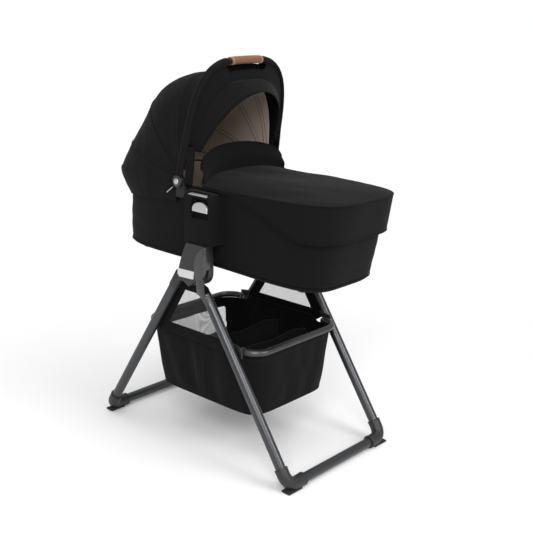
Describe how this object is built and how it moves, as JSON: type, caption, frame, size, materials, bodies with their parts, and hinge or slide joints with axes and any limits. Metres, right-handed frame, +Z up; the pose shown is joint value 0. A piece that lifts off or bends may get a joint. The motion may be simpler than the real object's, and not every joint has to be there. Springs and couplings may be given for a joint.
{
  "type": "bassinet with stand",
  "caption": "Bassinet with folding canopy, carrying arch, padded top cover and lift-off carrycot on a folding U-leg stand with a cloth storage basket.",
  "frame": {"origin": "on the floor under the middle of the whole object's bounding box", "axes": "+X from the head end to the foot end, +Y across towards the far side, +Z up"},
  "size_m": [0.9, 0.477, 1.163],
  "materials": {
    "gunmetal_tube": "satin dark grey powder coat",
    "dark_plastic": "matt moulded",
    "dark_gloss_plastic": "satin gloss moulded",
    "sole_rubber": "matt",
    "pivot_steel": "turned",
    "black_cloth": "fine woven",
    "grey_mesh": "fine open mesh",
    "taupe_lining": "soft knitted",
    "mattress_cover": "soft knitted",
    "tan_leather": "smooth tan leatherette, stitched",
    "silver_plastic": "satin silver"
  },
  "bodies": {
    "stand_head": {"leg_head_near": "gunmetal_tube", "leg_head_far": "gunmetal_tube", "corner_head_near": "dark_plastic", "corner_head_far": "dark_plastic", "sole_head_near": "sole_rubber", "sole_head_far": "sole_rubber", "hub_near": "dark_plastic", "hub_far": "dark_plastic", "fold_pin_near": "pivot_steel", "fold_pin_far": "pivot_steel", "bracket_head_near": "dark_plastic", "bracket_head_far": "dark_plastic", "side_mesh_near": "grey_mesh", "side_mesh_far": "grey_mesh", "floor_bar_head": "gunmetal_tube", "basket_bag": "black_cloth", "divider_1": "black_cloth", "divider_2": "black_cloth"},
    "stand_foot": {"leg_foot_near": "gunmetal_tube", "leg_foot_far": "gunmetal_tube", "corner_foot_near": "dark_plastic", "corner_foot_far": "dark_plastic", "sole_foot_near": "sole_rubber", "sole_foot_far": "sole_rubber", "leg_top_near": "dark_gloss_plastic", "leg_top_far": "dark_gloss_plastic", "bracket_foot_near": "dark_plastic", "bracket_foot_far": "dark_plastic", "floor_bar_foot": "gunmetal_tube"},
    "hoop_head": {"hoop_head": "gunmetal_tube"},
    "hoop_foot": {"hoop_foot": "gunmetal_tube"},
    "bassinet": {"tub": "black_cloth", "inner_lining": "taupe_lining", "mattress": "mattress_cover", "skid_head": "dark_plastic", "skid_foot": "dark_plastic", "canopy_fabric": "black_cloth", "canopy_lining": "taupe_lining", "adapter_near": "black_cloth", "adapter_far": "black_cloth", "trim_bar_near": "silver_plastic", "trim_bar_far": "silver_plastic", "canopy_hinge_near": "dark_plastic", "canopy_hinge_far": "dark_plastic", "canopy_pin_near": "pivot_steel", "canopy_pin_far": "pivot_steel"},
    "canopy_arch": {"carry_arch": "black_cloth", "grip": "tan_leather", "visor": "black_cloth"},
    "canopy_bow_1": {"canopy_bow_1": "dark_plastic"},
    "canopy_bow_2": {"canopy_bow_2": "dark_plastic"},
    "top_cover": {"top_cover": "black_cloth", "wind_flap": "black_cloth"},
    "release_button_near": {"release_button_near": "silver_plastic"},
    "release_button_far": {"release_button_far": "silver_plastic"},
    "canopy_button_near": {"canopy_button_near": "silver_plastic"},
    "canopy_button_far": {"canopy_button_far": "silver_plastic"}
  },
  "joints": [
    {"name": "stand_fold", "type": "hinge", "parent": "stand_head", "child": "stand_foot", "pos_m": [0, 0, 0.57], "axis": [0, 1, 0], "range_deg": [0, 65], "deforming": ["basket_bag", "divider_1", "divider_2", "side_mesh_near", "side_mesh_far"]},
    {"name": "hoop_head_fold", "type": "hinge", "parent": "stand_head", "child": "hoop_head", "pos_m": [-0.21, 0, 0.355], "axis": [0, 1, 0], "range_deg": [-58, 0]},
    {"name": "hoop_foot_fold", "type": "hinge", "parent": "stand_foot", "child": "hoop_foot", "pos_m": [0.15, 0, 0.355], "axis": [0, 1, 0], "range_deg": [0, 58]},
    {"name": "bassinet_lift", "type": "slide", "parent": "stand_head", "child": "bassinet", "axis": [0, 0, 1], "range_m": [0, 0.15]},
    {"name": "canopy_fold", "type": "hinge", "parent": "bassinet", "child": "canopy_arch", "pos_m": [-0.09, 0, 0.816], "axis": [0, 1, 0], "range_deg": [-80, 0], "deforming": ["canopy_fabric", "canopy_lining"]},
    {"name": "canopy_bow_1_fold", "type": "hinge", "parent": "bassinet", "child": "canopy_bow_1", "pos_m": [-0.09, 0, 0.816], "axis": [0, 1, 0], "range_deg": [-43, 0]},
    {"name": "canopy_bow_2_fold", "type": "hinge", "parent": "bassinet", "child": "canopy_bow_2", "pos_m": [-0.09, 0, 0.816], "axis": [0, 1, 0], "range_deg": [-22, 0]},
    {"name": "cover_lift", "type": "slide", "parent": "bassinet", "child": "top_cover", "axis": [0.6, 0, 0.8], "range_m": [0, 0.1]},
    {"name": "release_button_near_press", "type": "slide", "parent": "bassinet", "child": "release_button_near", "axis": [0, 1, 0], "range_m": [0, 0.0035], "stiffness_N_per_m": 400},
    {"name": "canopy_button_near_press", "type": "slide", "parent": "canopy_arch", "child": "canopy_button_near", "axis": [0, 1, 0], "range_m": [0, 0.0025], "stiffness_N_per_m": 400},
    {"name": "release_button_far_press", "type": "slide", "parent": "bassinet", "child": "release_button_far", "axis": [0, -1, 0], "range_m": [0, 0.0035], "stiffness_N_per_m": 400},
    {"name": "canopy_button_far_press", "type": "slide", "parent": "canopy_arch", "child": "canopy_button_far", "axis": [0, -1, 0], "range_m": [0, 0.0025], "stiffness_N_per_m": 400}
  ],
  "couplings": [
    {"joint": "hoop_head_fold", "follows": "stand_fold", "ratio": -0.866},
    {"joint": "hoop_foot_fold", "follows": "stand_fold", "ratio": 0.866},
    {"joint": "canopy_bow_1_fold", "follows": "canopy_fold", "ratio": 0.525},
    {"joint": "canopy_bow_2_fold", "follows": "canopy_fold", "ratio": 0.2625}
  ]
}
